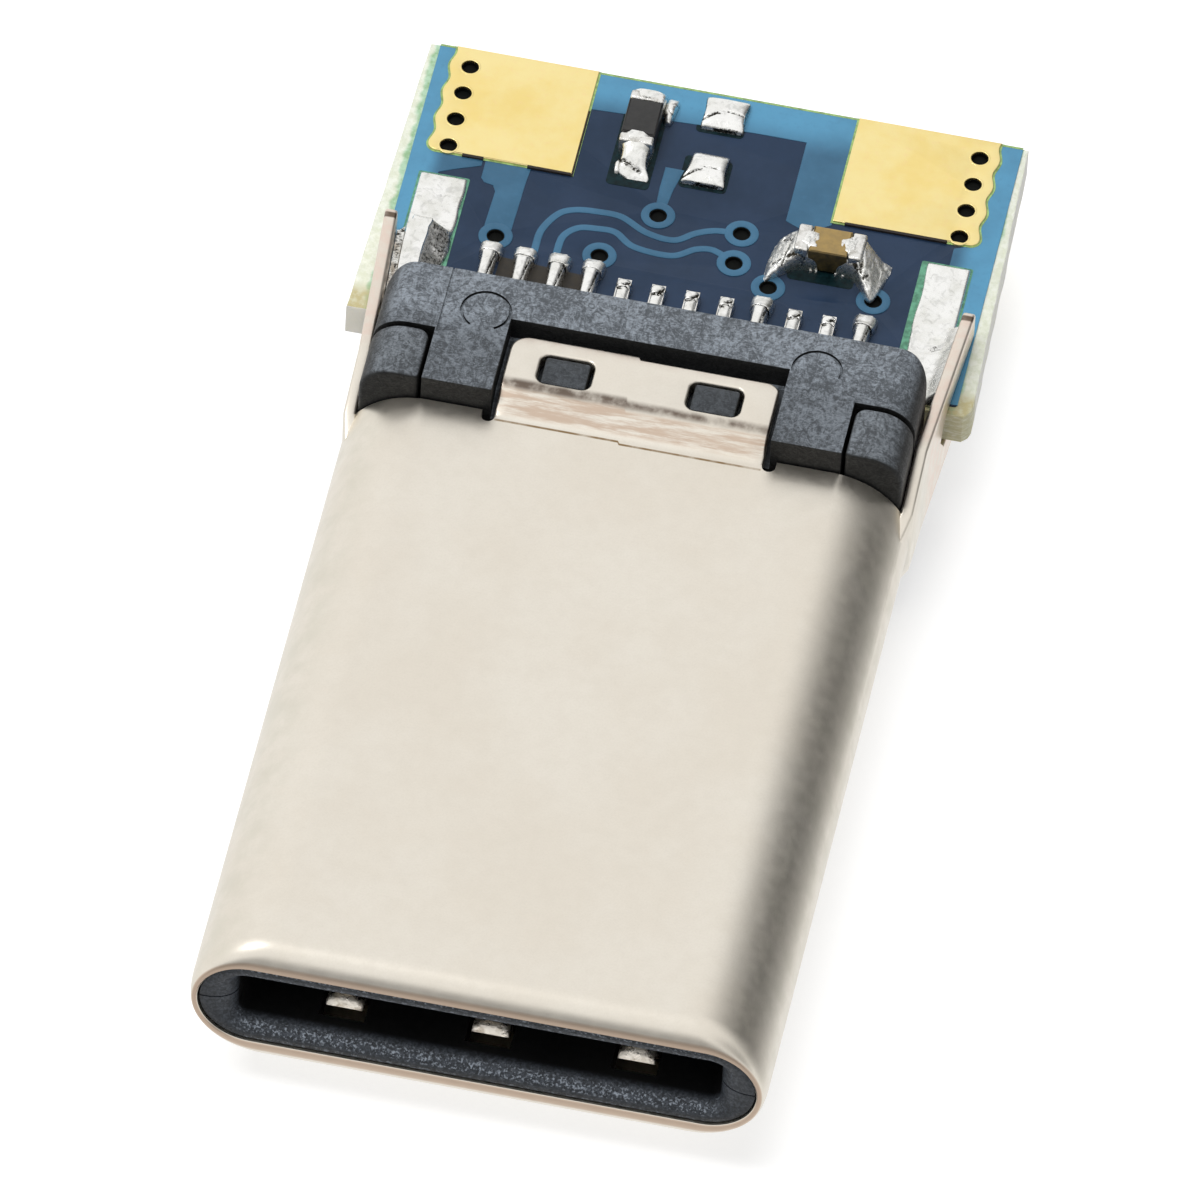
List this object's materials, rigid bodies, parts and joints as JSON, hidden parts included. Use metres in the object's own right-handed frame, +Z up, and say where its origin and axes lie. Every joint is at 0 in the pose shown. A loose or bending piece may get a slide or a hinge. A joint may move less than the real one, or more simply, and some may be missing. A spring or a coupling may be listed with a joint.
{
  "type": "usb c plug",
  "caption": "Flat oval data and power plug with a nickel shell, soldered over the edge of a small circuit board with wire pads.",
  "frame": {"origin": "middle of the bounding box seen from above, at the level of the rear housing's underside", "axes": "+Y from the mating face back along the plug to the board's rear edge, +X to the right, +Z up through the face of the board that carries the chip parts"},
  "size_m": [0.0092, 0.018, 0.0032],
  "materials": {
    "nickel_shell": "satin nickel plate with faint drawing marks",
    "black_plastic": "glass filled, finely speckled",
    "carrier_plastic": "matte",
    "corner_plastic": "finely speckled",
    "latch_steel": "satin",
    "spring_steel": "satin",
    "contact_metal": "tin plated tails and gold plated beams",
    "board_mask": "dark blue solder mask over glass fibre board",
    "gold_plating": "flat satin gold plate",
    "solder": "bright solder",
    "resistor_glaze": "black glaze",
    "capacitor_ceramic": "tan ceramic",
    "terminal_tin": "matte tin"
  },
  "bodies": {
    "root": {"shell": "nickel_shell", "front_housing": "black_plastic", "rear_housing": "black_plastic", "contact_carrier_top": "carrier_plastic", "contact_carrier_bottom": "carrier_plastic", "corner_block_left": "corner_plastic", "corner_block_right": "corner_plastic", "latch_plate": "latch_steel", "ground_spring_top": "spring_steel", "ground_spring_bottom": "spring_steel", "contact_top_01": "contact_metal", "contact_top_02": "contact_metal", "contact_top_03": "contact_metal", "contact_top_04": "contact_metal", "contact_top_05": "contact_metal", "contact_top_06": "contact_metal", "contact_top_07": "contact_metal", "contact_top_08": "contact_metal", "contact_top_09": "contact_metal", "contact_top_10": "contact_metal", "contact_top_11": "contact_metal", "contact_top_12": "contact_metal", "contact_bottom_01": "contact_metal", "contact_bottom_02": "contact_metal", "contact_bottom_03": "contact_metal", "contact_bottom_04": "contact_metal", "contact_bottom_05": "contact_metal", "contact_bottom_06": "contact_metal", "contact_bottom_07": "contact_metal", "contact_bottom_08": "contact_metal", "contact_bottom_09": "contact_metal", "contact_bottom_10": "contact_metal", "contact_bottom_11": "contact_metal", "contact_bottom_12": "contact_metal", "circuit_board": "board_mask", "gold_pad_top_left": "gold_plating", "gold_pad_top_right": "gold_plating", "gold_pad_bottom_left": "gold_plating", "gold_pad_bottom_right": "gold_plating", "leg_solder_top_left": "solder", "leg_solder_top_right": "solder", "leg_solder_bottom_left": "solder", "leg_solder_bottom_right": "solder", "resistor_solder_rear": "solder", "resistor_solder_front": "solder", "capacitor_solder_left": "solder", "capacitor_solder_right": "solder", "blank_pad_solder_rear": "solder", "blank_pad_solder_front": "solder", "resistor_body": "resistor_glaze", "capacitor_body": "capacitor_ceramic", "resistor_cap_a": "terminal_tin", "resistor_cap_b": "terminal_tin", "capacitor_cap_a": "terminal_tin", "capacitor_cap_b": "terminal_tin"}
  },
  "joints": []
}
